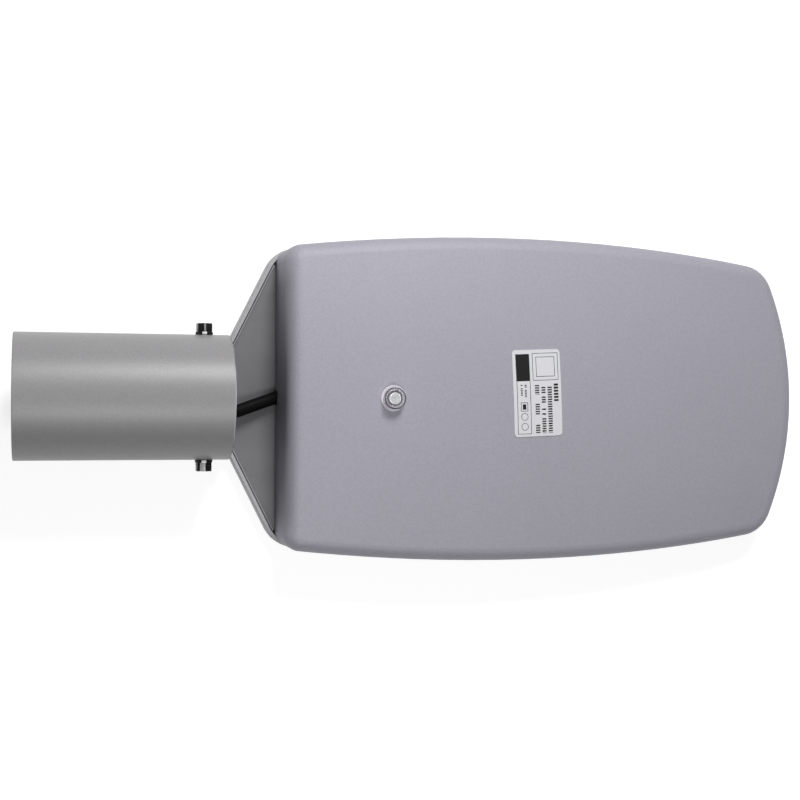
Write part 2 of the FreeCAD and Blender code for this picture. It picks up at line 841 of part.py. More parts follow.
def lens_array():
    """Clear plate with a two-lobed lens under each lamp and a pocket over it."""
    z1 = board_underside - module_clear
    z0 = z1 - lens_plate
    plate = block(module_x, 0, board_size[0] - 2, board_size[1] - 2, z0, z1)
    corners = [e for e in plate.Edges if e.BoundBox.ZLength > lens_plate / 2]
    plate = plate.makeFillet(3.0, corners)
    ball_r = (lens_r * lens_r + lens_drop * lens_drop) / (2 * lens_drop)
    lobe_centre = z0 + ball_r - lens_drop
    lobes, pockets = [], []
    for x, y in lens_places():
        for side in (1, -1):
            ball = Part.makeSphere(ball_r, V(x, y + side * lens_lobe, lobe_centre))
            lobes.append(ball.common(box(x - lens_r - 1, x + lens_r + 1, y - lens_r - 3, y + lens_r + 3, 0, z0 + 0.5)))
        pockets.append(cylinder(chip_size / 2 + lens_pocket, lens_pocket_depth + overrun, (x, y, z1 - lens_pocket_depth)))
    holes = [cylinder(small_screw_r + 0.2, high, (x, y, 0)) for x, y in board_screw_places()]
    return without(join([plate] + lobes), pockets + holes)


def rounded_rectangle(size, z):
    slab = block(module_x, 0, size[0], size[1], z, z + 1)
    upright = [e for e in slab.Edges if e.BoundBox.ZLength > 0.9]
    slab = slab.makeFillet(surround_corner, upright)
    for face in slab.Faces:
        if face.BoundBox.ZMax < z + 0.001:
            return face.OuterWire
    raise ValueError("the surround has no outline")


def funnel(grow, top):
    """Room inside the surround, straight at the lenses and flared below, grown by its sheet for the outside."""
    mouth_half_width = half_width - surround_margin - window_inset
    mouth = (surround_mouth_length + 2 * grow, 2 * mouth_half_width + 2 * grow)
    clear = 2 * (lens_r + surround_throat_gap + grow)
    throat = ((lens_columns - 1) * lens_pitch[0] + clear, (lens_rows - 1) * lens_pitch[1] + 2 * lens_lobe + clear)
    ring = rounded_rectangle(throat, surround_collar)
    flare = Part.makeLoft([rounded_rectangle(mouth, surround_foot), ring], True, True)
    return flare.fuse(Part.Face(ring).extrude(V(0, 0, top - surround_collar)))


def reflector_frame():
    """White surround: a flange under the lens plate, a flared skirt and a flange just over the glass."""
    top = board_underside - module_clear - lens_plate
    upper = block(module_x, 0, board_size[0] - 2, board_size[1] - 2, top - surround_top, top)
    lower = prism(window_face(window_inset + surround_gap), surround_foot, surround_foot + surround_sheet)
    body = join([upper, lower, funnel(surround_sheet, top)]).cut(funnel(0.0, top))
    return without(body, [cylinder(small_screw_r + 0.2, high, (x, y, 0)) for x, y in board_screw_places()])


def board_screws():
    seat = board_underside - module_clear - lens_plate - surround_top
    return [
        screw_up(small_screw_r, small_head_r, small_head, board_screw_length, at, seat, socket_flats * 0.6)
        for at in board_screw_places()
    ]


# Power supply, terminals and leads
def driver_case():
    low = driver_top - driver_height
    body = box(driver_x[0], driver_x[1], -driver_half, driver_half, low, driver_top)
    body = body.makeFillet(driver_edge, [e for e in body.Edges if e.BoundBox.ZMax < driver_top - 0.1 or e.BoundBox.ZLength > 1])
    x = (driver_x[0] + driver_x[1]) / 2
    ears = block(x, 0, driver_ear_width, 2 * (driver_half + driver_ear), driver_top - driver_ear_thickness, driver_top)
    ears = ears.makeFillet(2.0, [e for e in ears.Edges if e.BoundBox.ZLength > driver_ear_thickness / 2])
    holes = [cylinder(driver_screw_r + bolt_clear, high, (px, py, 0)) for px, py in driver_screw_places()]
    return without(join([body, ears]), holes)


def terminal_block():
    x, y = terminal_at
    sx, sy, sz = terminal_size
    body = block(x, y, sx, sy, floor_height, floor_height + sz)
    body = body.makeChamfer(terminal_chamfer, [e for e in body.Edges if e.BoundBox.ZMin > floor_height + sz - 0.01])
    base = floor_height + sz - terminal_screw_depth
    return without(body, [cylinder(terminal_screw_r + screw_fit, high, (x, py, base)) for py in pole_places()])


def pole_places():
    return [terminal_at[1] + (k - (terminal_poles - 1) / 2) * terminal_pitch for k in range(terminal_poles)]


def terminal_screws():
    top = floor_height + terminal_size[2] - terminal_chamfer
    screws = []
    for py in pole_places():
        base = floor_height + terminal_size[2] - terminal_screw_depth
        screw = cylinder(terminal_screw_r, top - base, (terminal_at[0], py, base))
        slot = block(terminal_at[0], py, 3 * terminal_screw_r, 0.8, top - 0.9, top)
        screws.append(screw.cut(slot))
    return screws


def earth_screw():
    screw = screw_up(driver_screw_r, driver_screw_head_r, driver_screw_head, earth_screw_length, (0, 0), 0,
                     socket_flats * 0.8)
    screw.rotate(V(0, 0, 0), X, 180)
    screw.translate(V(earth_at[0], earth_at[1], floor_height))
    return screw


def round_run(points, r):
    """Tube along straight runs joined by tangent arcs, each as large as its two runs allow."""
    nodes = [V(*p) for p in points]
    edges, last = [], nodes[0]
    for before, here, after in zip(nodes, nodes[1:], nodes[2:]):
        u, w = before.sub(here), after.sub(here)
        shorter = min(u.Length, w.Length)
        u, w = u.normalize(), w.normalize()
        turn = pi - acos(max(-1.0, min(1.0, u.dot(w))))
        back = 0.45 * shorter
        radius = back / tan(turn / 2)
        print("bend radius", round(radius, 1), "mm")
        a, b = here.add(V(u.x, u.y, u.z).multiply(back)), here.add(V(w.x, w.y, w.z).multiply(back))
        middle = u.add(w).normalize()
        centre_gap = radius / cos(turn / 2) - radius
        mid = here.add(middle.multiply(centre_gap))
        edges.append(Part.LineSegment(last, a).toShape())
        edges.append(Part.Arc(a, mid, b).toShape())
        last = b
    edges.append(Part.LineSegment(last, nodes[-1]).toShape())
    path = Part.Wire(edges)
    start = nodes[1].sub(nodes[0])
    profile = Part.Wire([Part.Circle(nodes[0], start, r).toShape()])
    return path.makePipeShell([profile], True, True)


def supply_cable():
    """Sheathed cable from the rear wall's plane into the tube; it starts a little behind and is cut off flush."""
    first = V(*cable_exit)
    back = first.sub(V(*cable_turns[0])).normalize()
    run = round_run([tuple(first.add(back))] + list(cable_turns) + [cable_end], cable_r)
    return run.cut(box(rear_wall_x, rear_wall_x + 2 * cable_r, -2 * cable_r, 2 * cable_r, 0, high))


def cable_cores():
    """Stripped cores that leave the sheath's end, side by side."""
    end, before = V(*cable_end), V(*cable_turns[-1])
    along = end.sub(before).normalize()
    cores = []
    for k in range(3):
        angle = radians(90 + 120 * k)
        at = end.add(V(0, core_ring * cos(angle), core_ring * sin(angle)))
        spread = along.add(V(0, 0.10 * cos(angle), 0.10 * sin(angle)))
        core = Part.makeCylinder(core_r, core_length, at, spread)
        size = 4 * cable_r
        cut = Part.makeBox(size, size, size, V(-size / 2, -size / 2, -size))
        cut.Placement = FreeCAD.Placement(end, FreeCAD.Rotation(Z, along))
        cores.append(core.cut(cut))
    return cores


def cable_grommet():
    x, y, z = cable_exit
    neck = arch(cable_r + grommet_neck, x + grommet_recess, x + shell_wall + 1, z)
    flange = arch(grommet_flange_r, x + shell_wall + lip_gap, x + shell_wall + grommet_depth, z)
    body = neck.fuse(flange).removeSplitter()
    body = body.cut(box(0, high * 2, -wide, wide, 0, floor_height))
    return body.cut(cylinder(cable_r, high, (x - 10, 0, z), X))


def inner_cable():
    x, y, z = cable_exit
    return cylinder(cable_r, inner_cable_end - x, (x, y, z), X)


def cord_grip():
    x, y, z = cable_exit
    r = cable_r + grip_wall
    saddle = arch(r, grip_x - grip_width / 2, grip_x + grip_width / 2, z)
    foot = block(grip_x, 0, grip_width, 2 * grip_half, floor_height, floor_height + grip_foot)
    body = join([saddle, foot]).cut(box(0, high * 3, -wide, wide, 0, floor_height))
    way = cylinder(cable_r, high * 2, (x - 10, 0, z), X)
    slot = box(0, high * 3, -cable_r, cable_r, 0, z)
    holes = [cylinder(small_screw_r + 0.2, high, (px, py, 0)) for px, py in grip_screw_places()]
    return without(body, [way, slot] + holes)


def grip_screws():
    screws = []
    for x, y in grip_screw_places():
        screw = screw_up(small_screw_r, small_head_r, small_head, floor_thickness + grip_foot - 0.2, (0, 0), 0,
                         socket_flats * 0.6)
        screw.rotate(V(0, 0, 0), X, 180)
        screw.translate(V(x, y, floor_height + grip_foot))
        screws.append(screw)
    return screws


def inner_leads():
    """Cores from the cable's end to the terminals, and from there to the power supply."""
    z = cable_exit[2]
    leads = []
    near_x = terminal_at[0] - terminal_size[0] / 2
    for k, py in enumerate(pole_places()):
        start_y = (k - 1) * core_pitch
        turn_x = inner_cable_end + lead_start + (terminal_poles - 1 - k) * lead_spacing
        leads.append(lead([(inner_cable_end, start_y, z), (turn_x, start_y, z), (turn_x, py, z), (near_x, py, z)]))
    far_x = terminal_at[0] + terminal_size[0] / 2
    in_z = driver_top - driver_height / 2
    for py in pole_places()[:2]:
        leads.append(lead([(far_x, py, z), (far_x + 4, py, z), (driver_x[0] - 4, py, in_z), (driver_x[0], py, in_z)]))
    return leads


def lead(points):
    """Thin lead along straight runs with a ball at each turn."""
    nodes = [V(*p) for p in points]
    pieces = []
    for a, b in zip(nodes, nodes[1:]):
        run = b.sub(a)
        pieces.append(Part.makeCylinder(lead_r, run.Length, a, run))
    for node in nodes[1:-1]:
        pieces.append(Part.makeSphere(lead_r, node))
    return join(pieces)


def lamp_leads():
    """Pair from the power supply to the lamp board."""
    leads = []
    out_z = driver_top - driver_height / 2
    in_z = board_underside + board_thickness / 2 - screw_fit
    board_x = module_x - board_size[0] / 2
    step = lamp_lead_step
    for edge in lamp_lead_edge:
        y = board_size[1] / 2 - edge
        leads.append(lead([(driver_x[1], y + step, out_z), (driver_x[1] + step, y + step, out_z),
                           (board_x - step, y, in_z), (board_x, y, in_z)]))
    return leads


# Light sensor
def sensor_seat():
    return crown_z(sensor_x) - sensor_seat_sink


def turned(points):
    """Solid turned about the sensor's axis from a section of radius and height pairs."""
    seat = sensor_seat()
    section = Part.Face(Part.makePolygon([V(sensor_x + r, 0, seat + h) for r, h in points + [points[0]]]))
    return section.revolve(V(sensor_x, 0, 0), Z, 360)


def sensor_base():
    ring_top = sensor_base_height + sensor_ring_height
    stem = -sensor_stem_length
    base = turned([
        (0, stem), (sensor_stem_r, stem), (sensor_stem_r, 0), (sensor_base_r, 0), (sensor_base_r, sensor_base_height - 0.4),
        (sensor_base_r - 0.4, sensor_base_height), (sensor_ring_r, sensor_base_height), (sensor_ring_r, ring_top),
        (cell_r + 0.3, ring_top), (cell_r + 0.3, sensor_base_height), (0, sensor_base_height),
    ])
    return base.cut(under_crown().common(cylinder(high, high, (sensor_x, 0, 0))).cut(sensor_hole()))


def photocell():
    cell = turned([
        (0, sensor_base_height), (cell_r, sensor_base_height), (cell_r, sensor_base_height + cell_height - 0.3),
        (cell_r - 0.3, sensor_base_height + cell_height), (0, sensor_base_height + cell_height),
    ])
    return cell


def sensor_cap():
    top = sensor_base_height + sensor_cap_height
    inside = top - sensor_cap_wall
    cap = turned([
        (sensor_cap_r - sensor_cap_wall, sensor_base_height), (sensor_cap_r, sensor_base_height), (sensor_cap_r, top),
        (0, top), (0, inside), (sensor_cap_r - sensor_cap_wall, inside),
    ])
    for level, r in ((top, sensor_cap_edge_r), (inside, sensor_cap_edge_r - sensor_cap_wall)):
        z = sensor_seat() + level
        rim = [e for e in cap.Edges if abs(e.BoundBox.ZMin - z) < 1e-4 and abs(e.BoundBox.ZMax - z) < 1e-4]
        rim = [e for e in rim if e.BoundBox.XLength > 2 * cell_r]
        cap = cap.makeFillet(r, rim)
    return cap


def sensor_nut():
    top = crown_z(sensor_x, 0, shell_wall) - sensor_nut_gap
    nut = hexagon(sensor_nut_flats, top - sensor_nut_height, top, (sensor_x, 0))
    return nut.cut(cylinder(sensor_stem_r + screw_fit, high, (sensor_x, 0, 0)))


def sensor_leads():
    bottom = sensor_seat() - sensor_stem_length
    return [cylinder(lead_r, bottom - driver_top, (sensor_x + s * 1.6, 0, driver_top)) for s in (1, -1)]


# Label
def rating_label():
    paper = block(label_at[0], label_at[1], label_size[0], label_size[1], crown_height / 2, high)
    paper = paper.makeFillet(label_corner_r, [e for e in paper.Edges if e.BoundBox.ZLength > crown_height / 2])
    paper.rotate(V(label_at[0], label_at[1], 0), Z, label_turn)
    return paper.common(under_crown(-label_bond - label_thickness)).cut(under_crown(-label_bond))


def frame_screws():
    return [
        screw_up(frame_screw_r, frame_screw_head_r, frame_screw_head, frame_screw_length, at, frame_screw_sink, socket_flats)
        for at in screw_places()
    ]


def bracket_screws():
    seat = floor_height - floor_thickness
    length = floor_thickness + bracket_screw_length - 2
    return [
        screw_up(frame_screw_r, frame_screw_head_r, frame_screw_head, length, at, seat, socket_flats)
        for at in bracket_screw_places()
    ]


os.makedirs("parts", exist_ok=True)
crowned_block_low = crowned_block(1.0, 0.0)

save("housing_shell", housing_shell())
save("bottom_frame", bottom_frame())
save("frame_gasket", frame_gasket())
save("frame_screws", frame_screws())
save("neck_bracket", neck_bracket())
save("bracket_screws", bracket_screws())
save("mounting_tube", mounting_tube())
save("tube_bolts", [to_side(side_bolt(), side) for side in (1, -1)])
save("spring_washers", [to_side(spring_washer(), side) for side in (1, -1)])
save("clamp_bolts", [placed_radially(set_bolt(), x, side) for x, side in set_bolt_places()])
save("clamp_nuts", [placed_radially(set_nut(), x, side) for x, side in set_bolt_places()])
save("cover_glass", cover_glass())
save("glass_gasket", glass_gasket())
save("glass_clips", glass_clips())
save("clip_screws", clip_screws())
save("led_board", led_board())
save("led_chips", led_chips())
save("lens_array", lens_array())
save("reflector_frame", reflector_frame())
save("board_screws", board_screws())
save("driver_case", driver_case())
save("driver_screws", [
    screw_up(driver_screw_r, driver_screw_head_r, driver_screw_head, driver_ear_thickness + driver_screw_length - 2,
             at, driver_top - driver_ear_thickness, socket_flats * 0.8)
    for at in driver_screw_places()
])
save("terminal_block", terminal_block())
save("terminal_screws", terminal_screws())
save("earth_screw", earth_screw())
save("supply_cable", supply_cable())
save("cable_cores", cable_cores())
save("cable_grommet", cable_grommet())
save("inner_cable", inner_cable())
save("cord_grip", cord_grip())
save("grip_screws", grip_screws())
save("inner_leads", inner_leads())
save("lamp_leads", lamp_leads())
save("sensor_base", sensor_base())
save("sensor_cap", sensor_cap())
save("photocell", photocell())
save("sensor_nut", sensor_nut())
save("sensor_leads", sensor_leads())
save("rating_label", rating_label())
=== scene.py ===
from math import cos, radians, sin

import bmesh
import bpy
from bpy.props import FloatProperty, FloatVectorProperty, PointerProperty
from mathutils import Matrix, Vector


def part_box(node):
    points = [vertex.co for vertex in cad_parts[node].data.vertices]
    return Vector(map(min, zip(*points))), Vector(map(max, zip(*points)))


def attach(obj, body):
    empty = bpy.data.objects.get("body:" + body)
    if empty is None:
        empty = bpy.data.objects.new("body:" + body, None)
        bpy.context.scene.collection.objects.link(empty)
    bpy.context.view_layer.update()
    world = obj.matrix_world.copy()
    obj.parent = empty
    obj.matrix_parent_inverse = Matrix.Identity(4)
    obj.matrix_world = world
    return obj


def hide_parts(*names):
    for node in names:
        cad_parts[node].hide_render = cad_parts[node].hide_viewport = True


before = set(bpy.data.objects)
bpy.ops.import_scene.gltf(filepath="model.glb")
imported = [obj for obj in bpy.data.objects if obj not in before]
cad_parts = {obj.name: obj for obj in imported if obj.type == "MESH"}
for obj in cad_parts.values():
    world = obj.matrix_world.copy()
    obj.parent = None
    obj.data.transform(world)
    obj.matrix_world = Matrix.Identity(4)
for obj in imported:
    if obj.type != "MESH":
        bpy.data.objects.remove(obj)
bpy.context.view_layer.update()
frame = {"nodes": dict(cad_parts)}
nodes = frame["nodes"]

bl_info = {
    "name": "Street light head",
    "version": (1, 0, 0),
    "blender": (4, 5, 0),
    "location": "3D View > Sidebar > Light Head",
    "description": "Finishes, cable, label and studio for an LED street light head",
    "category": "Object",
}


def middle(name):
    low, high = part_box(name)
    return (low + high) / 2


MM = 0.001
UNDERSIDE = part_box("bottom_frame")[0].z
TUBE_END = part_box("mounting_tube")[1].x
SENSOR_AT = middle("sensor_cap")
LABEL_AT = middle("rating_label")
MODULE_AT = middle("led_board")
BOLTS_AT = middle("tube_bolts")

# In millimetres
BOLT_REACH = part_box("tube_bolts")[1].y / MM
BOLT_HEAD = 4.6
WASHER_THICKNESS = 1.4
NECK_LIP = (9.2, 10.6)  # heights over the underside between which the neck's raised lip lies
# Painted shade: the dark ring round the photocell stands in for the shadowed gap under the cap
SENSOR_SHADE = 4.3  # radius of the dark ring round the photocell
CELL_FACE = 2.7  # radius of the photocell's patterned face
LAMP_PITCH = (16.5, 18.0)
LAMP_FACE = 1.35
FLOOR_FADE = (600, 1800)  # distances from the head between which the floor comes up to the backdrop's white

# Shared colours
# Painted shade at the foot of the housing's rear wall and round the cable's exit
PAINTED_SHADE = (0.045, 0.045, 0.047)
# Painted highlight along the upper edge of the tube's end
PAINTED_HIGHLIGHT = (0.75, 0.74, 0.78)
CORE_BROWN = (0.16, 0.055, 0.022)

# The stage
BACKDROP_TOP = 0.12  # sine of the angle to which the white backdrop rises round the object
FLOOR_SHOWN = 0.72  # what the floor adds near the head, so that it shows white and keeps the shadow
FLOOR_SIDE = 6.0
FLOOR_GAP = 0.2 * MM
FLOOR_MIDDLE = (0.2, 0, 0)
LAMPS_AIM = (0.18, 0, 0)


# Sizes and colours that a user would change
def colour(name, text, value):
    return FloatVectorProperty(name=name, description=text, default=value, size=3, min=0, max=1, subtype="COLOR")


def length(name, text, value):
    return FloatProperty(name=name, description=text, default=value, min=0, unit="LENGTH", precision=5)


class HeadPaint(bpy.types.PropertyGroup):
    housing: colour("Housing", "Silver grey powder coat of the crowned housing", (0.372, 0.365, 0.418))
    frame: colour("Frame", "Powder coat of the bottom frame", (0.405, 0.40, 0.414))
    tube: colour("Tube", "Powder coat of the arm tube", (0.275, 0.269, 0.275))
    neck: colour("Neck", "Dark grey coat of the neck's casting", (0.163, 0.163, 0.171))
    grain: length("Grain", "Size of the powder coat's fine grain", 0.7 * MM)
    ripple: length("Ripple", "Size of the powder coat's soft ripples", 3.2 * MM)
    flake: FloatProperty(name="Flake", description="Share of metal flake in the housing's powder coat", default=0.14,
                         min=0, max=1)


class HeadCable(bpy.types.PropertyGroup):
    diameter: length("Diameter", "Outer diameter of the cable's sheath", 7.0 * MM)
    length: length("Length", "Length from the rear wall to the sheath's cut end", 54.0 * MM)
    colour: colour("Sheath", "Black sheath", (0.004, 0.0036, 0.004))


class HeadLabel(bpy.types.PropertyGroup):
    paper: colour("Paper", "Coated paper of the label", (0.69, 0.69, 0.715))
    ink: colour("Ink", "Ink of the label's plain shapes", (0.012, 0.011, 0.011))
    turn: FloatProperty(name="Turn", description="How far the label is turned on the crown", default=radians(2.4),
                        subtype="ANGLE")
    width: length("Width", "Width of the label along the head", 28.8 * MM)
    height: length("Height", "Height of the label across the head", 48.6 * MM)
    stroke: length("Stroke", "Width of the label's thin lines", 0.3 * MM)


class HeadStage(bpy.types.PropertyGroup):
    lens: FloatProperty(name="Lens", description="Focal length of the camera", default=60.75 * MM, unit="CAMERA")
    tilt: FloatProperty(name="Tilt", description="Angle of the view from straight down", default=radians(14.5),
                        subtype="ANGLE")
    roll: FloatProperty(name="Roll", description="Turn of the picture", default=radians(0.31), subtype="ANGLE")
    camera_at: FloatVectorProperty(name="Camera", description="Place of the camera", subtype="TRANSLATION",
                                   default=(18.8 * MM, -0.9 * MM, 716 * MM))
    key: FloatProperty(name="Key light", description="Power of the large lamp on the far side", default=11.3,
                       unit="POWER")
    fill: FloatProperty(name="Fill light", description="Power of the small lamp on the near side", default=3.5,
                        unit="POWER")
    room: FloatProperty(name="Room light", description="Strength of the room's light from straight above",
                        default=0.33, min=0)
    floor: colour("Floor", "Plain pale floor", (0.55, 0.55, 0.55))


# Shader maths as plain expressions
class Wire:
    """A value in a material: sums, products and comparisons of wires add the nodes that work them out."""

    def __init__(self, recipe, socket):
        self.recipe = recipe
        self.socket = socket

    def math(self, operation, *others):
        sockets = {0: self}
        for index, other in enumerate(others, 1):
            sockets[index] = other
        made = self.recipe.node("ShaderNodeMath", {"operation": operation}, sockets)
        return Wire(self.recipe, made.outputs[0])

    def __add__(self, other):
        return self.math("ADD", other)

    def __sub__(self, other):
        return self.math("SUBTRACT", other)

    def __mul__(self, other):
        return self.math("MULTIPLY", other)

    def __truediv__(self, other):
        return self.math("DIVIDE", other)

    def __rsub__(self, other):
        return self.math("MULTIPLY", -1.0).math("ADD", other)

    def under(self, limit):
        return self.math("LESS_THAN", limit)

    def over(self, limit):
        return self.math("GREATER_THAN", limit)

    def between(self, low, high):
        return (self - (low + high) / 2).math("ABSOLUTE").under((high - low) / 2)

    def either(self, other):
        return self.math("MAXIMUM", other)

    def repeated(self, pitch):
        """Distance from the middle of the nearest of a row of evenly spaced places."""
        return (self + pitch / 2).math("FLOORED_MODULO", pitch) - pitch / 2

    def ramp(self, low, high, start=0.0, end=1.0):
        made = self.recipe.node("ShaderNodeMapRange", {"interpolation_type": "SMOOTHSTEP"},
                                {"Value": self, "From Min": low, "From Max": high, "To Min": start, "To Max": end})
        return Wire(self.recipe, made.outputs[0])


class Tree:
    """A node tree and its one node-making method."""

    def __init__(self, tree):
        self.tree = tree
        tree.nodes.clear()

    def node(self, kind, settings=None, sockets=None):
        made = self.tree.nodes.new(kind)
        for key, value in (settings or {}).items():
            setattr(made, key, value)
        for key, value in (sockets or {}).items():
            if isinstance(value, Wire):
                value = value.socket
            if isinstance(value, bpy.types.NodeSocket):
                self.tree.links.new(value, made.inputs[key])
            else:
                made.inputs[key].default_value = value
        return made


class Recipe(Tree):
    """One finish: its nodes, its shader and the surface's own coordinates."""

    def __init__(self, name, base, roughness, **constants):
        self.material = bpy.data.materials.new(name)
        self.material.use_nodes = True
        super().__init__(self.material.node_tree)
        self.shader = self.node("ShaderNodeBsdfPrincipled")
        self.base = (*base, 1.0)
        self.shader.inputs["Base Color"].default_value = self.base
        self.shader.inputs["Roughness"].default_value = roughness
        for key, value in constants.items():
            self.shader.inputs[key.replace("_", " ")].default_value = value
        self.node("ShaderNodeOutputMaterial", {}, {"Surface": self.shader.outputs[0]})
        self.place = Wire(self, self.node("ShaderNodeTexCoord").outputs["Object"])

    def put(self, **sockets):
        for key, value in sockets.items():
            self.tree.links.new(value.socket, self.shader.inputs[key.replace("_", " ")])

    def noise(self, size, detail=2.0, roughness=0.5, stretch=None):
        """Noise whose features are about as large as size, in metres."""
        where = self.place
        if stretch:
            where = Wire(self, self.node("ShaderNodeVectorMath", {"operation": "MULTIPLY"},
                                         {0: where, 1: stretch}).outputs[0])
        made = self.node("ShaderNodeTexNoise", {"noise_dimensions": "3D"},
                         {"Vector": where, "Scale": 1.0 / size, "Detail": detail, "Roughness": roughness})
        return Wire(self, made.outputs["Fac"])

    def blend(self, share, under, over):
        """Covers one colour by another to a share; each is a colour or a wire."""
        under, over = (tone if isinstance(tone, Wire) else (*tone[:3], 1.0) for tone in (under, over))
        made = self.node("ShaderNodeMix", {"data_type": "RGBA"}, {0: share, 6: under, 7: over})
        return Wire(self, made.outputs[2])

    def shade(self, variation, amount):
        """Base colour that varies by a share of itself."""
        low = tuple(c * (1 - amount) for c in self.base[:3])
        high = tuple(min(1.0, c * (1 + amount)) for c in self.base[:3])
        return self.blend(variation, low, high)

    def bump(self, height, depth):
        made = self.node("ShaderNodeBump", {}, {"Height": height, "Distance": depth, "Strength": 1.0})
        return Wire(self, made.outputs["Normal"])

    def axes(self, centre=(0, 0, 0), turn=0.0):
        """Place on the piece from a centre, as three wires in millimetres."""
        moved = self.node("ShaderNodeVectorMath", {"operation": "SUBTRACT"}, {0: self.place, 1: tuple(centre)})
        turned = self.node("ShaderNodeVectorRotate", {"rotation_type": "Z_AXIS"},
                           {"Vector": moved.outputs[0], "Angle": -turn})
        split = self.node("ShaderNodeSeparateXYZ", {}, {0: turned.outputs[0]})
        return [Wire(self, split.outputs[k]) * (1 / MM) for k in range(3)]


def distance(x, y):
    return (x * x + y * y).math("SQRT")


def powder_coat(name, base, roughness, grain_depth=0.03 * MM, ripple_depth=0.03 * MM, flake=0.0, highlight_from=None,
                wall_at=None):
    """Sprayed and baked powder: fine grain, soft ripples and a faint unevenness of tone. Past a given place along the
    piece the upper edge is lighter, a painted highlight. A wall that rises from wall_at is darker at its foot, a
    painted shade."""
    paint = bpy.context.scene.head_paint
    recipe = Recipe(name, base, roughness, Metallic=flake)
    grain = recipe.noise(paint.grain, 3.0, 0.6)
    ripple = recipe.noise(paint.ripple, 1.0)
    cloud = recipe.noise(60 * MM, 2.0)
    speck = recipe.noise(paint.grain * 1.6, 1.0).ramp(0.35, 0.65)
    tint = recipe.shade(speck * 0.6 + cloud * 0.4, 0.06)
    if highlight_from:
        along, across, _ = recipe.axes()
        # The painted highlight lies 4 mm off the middle and fades out 22 mm from there
        on_top = (across + 4.0).math("ABSOLUTE").ramp(16, 22, 0.7, 0.0)
        painted_highlight = along.ramp(highlight_from / MM - 0.2, highlight_from / MM + 0.1) * on_top
        tint = recipe.blend(painted_highlight, tint, PAINTED_HIGHLIGHT)
    if wall_at:
        # Painted shade: darker towards the foot of the rear wall, between its corners
        along, across, _ = recipe.axes(wall_at)
        between_corners = across.math("ABSOLUTE").ramp(60, 76, 1.0, 0.0)
        tint = recipe.blend(along.ramp(0, 8, 0.38, 0.0) * between_corners, tint, PAINTED_SHADE)
    recipe.put(Base_Color=tint)
    recipe.put(Roughness=grain * 0.12 + (roughness - 0.06))
    recipe.put(Normal=recipe.bump(grain * (grain_depth / MM) + ripple * (ripple_depth / MM), MM))
    return recipe.material


def cast_coat(name, base, roughness, exit_at):
    """Thin dark coat on a rough casting, with a painted highlight on its raised lip and painted shade round the
    cable's exit.
    """
    recipe = Recipe(name, base, roughness, Specular_IOR_Level=0.4)
    pits = recipe.noise(0.9 * MM, 4.0, 0.65)
    flow = recipe.noise(14 * MM, 3.0, 0.6)
    tint = recipe.shade(flow.ramp(0.3, 0.7) * 0.6 + pits * 0.4, 0.07)
    along, across, _ = recipe.axes(exit_at)
    # Painted shade: darker round the cable's exit
    tint = recipe.blend(distance(along, across).ramp(4, 34, 0.34, 0.0), tint, PAINTED_SHADE)
    height = recipe.axes((0, 0, UNDERSIDE))[2]
    # Painted highlight: a paler band along the top of the raised lip
    tint = recipe.blend(height.between(*NECK_LIP) * 0.45, tint, (0.36, 0.355, 0.37))
    recipe.put(Base_Color=tint)
    recipe.put(Roughness=pits * 0.2 + (roughness - 0.1))
    recipe.put(Normal=recipe.bump(pits * 0.03 + flow * 0.10, MM))
    return recipe.material


def plated_steel(name, base, roughness):
    """Zinc plating: fine crystals and slight clouding."""
    recipe = Recipe(name, base, roughness, Metallic=1.0)
    crystals = recipe.noise(0.5 * MM, 2.0)
    cloud = recipe.noise(4 * MM, 2.0)
    recipe.put(Base_Color=recipe.shade(cloud, 0.12))
    recipe.put(Roughness=crystals * 0.2 + cloud * 0.1 + (roughness - 0.15))
    recipe.put(Normal=recipe.bump(crystals, 0.012 * MM))
    return recipe.material


def moulded(name, base, roughness, grain=0.5 * MM, depth=0.01 * MM, variation=0.05, **constants):
    """Moulded plastic or rubber with the fine grain of its tool."""
    recipe = Recipe(name, base, roughness, **constants)
    fine = recipe.noise(grain, 2.0, 0.6)
    broad = recipe.noise(grain * 20, 2.0)
    recipe.put(Base_Color=recipe.shade(broad, variation))
    recipe.put(Roughness=fine * 0.14 + broad * 0.08 + (roughness - 0.11))
    recipe.put(Normal=recipe.bump(fine, depth))
    return recipe.material


def clear(name, base, roughness, ior, clarity=1.0):
    """Clear glass or moulded plastic with a hint of flow."""
    recipe = Recipe(name, base, roughness, Transmission_Weight=clarity, IOR=ior)
    flow = recipe.noise(9 * MM, 1.0)
    recipe.put(Roughness=flow * 0.02 + roughness)
    recipe.put(Normal=recipe.bump(flow, 0.004 * MM))
    return recipe.material


def dress(material, *names):
    """Gives CAD nodes one finish."""
    for name in names:
        mesh = nodes[name].data
        mesh.materials.clear()
        mesh.materials.append(material)


def stand_in(piece, material, slot_name, *stood_for):
    """A new piece takes its finish, its place on the part and the place of CAD nodes. Its slot name is not used."""
    piece.data.materials.append(material)
    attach(piece, "root")
    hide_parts(*stood_for)


def piece_from(mesh_maker, name):
    """A new object from a bmesh, smooth by angle, its normals outwards."""
    shape = bmesh.new()
    mesh_maker(shape)
    bmesh.ops.recalc_face_normals(shape, faces=shape.faces)
    mesh = bpy.data.meshes.new(name)
    shape.to_mesh(mesh)
    shape.free()
    mesh.shade_smooth()
    mesh.set_sharp_from_angle(angle=radians(35))
    made = bpy.data.objects.new(name, mesh)
    bpy.context.scene.collection.objects.link(made)
    return made


def make_housing():
    paint = bpy.context.scene.head_paint
    # The housing's rear wall gets painted shade at its foot
    dress(powder_coat("housing powder coat", paint.housing, 0.62, flake=paint.flake, wall_at=cable_route()[0]),
          "housing_shell")
    dress(powder_coat("frame powder coat", paint.frame, 0.42), "bottom_frame")


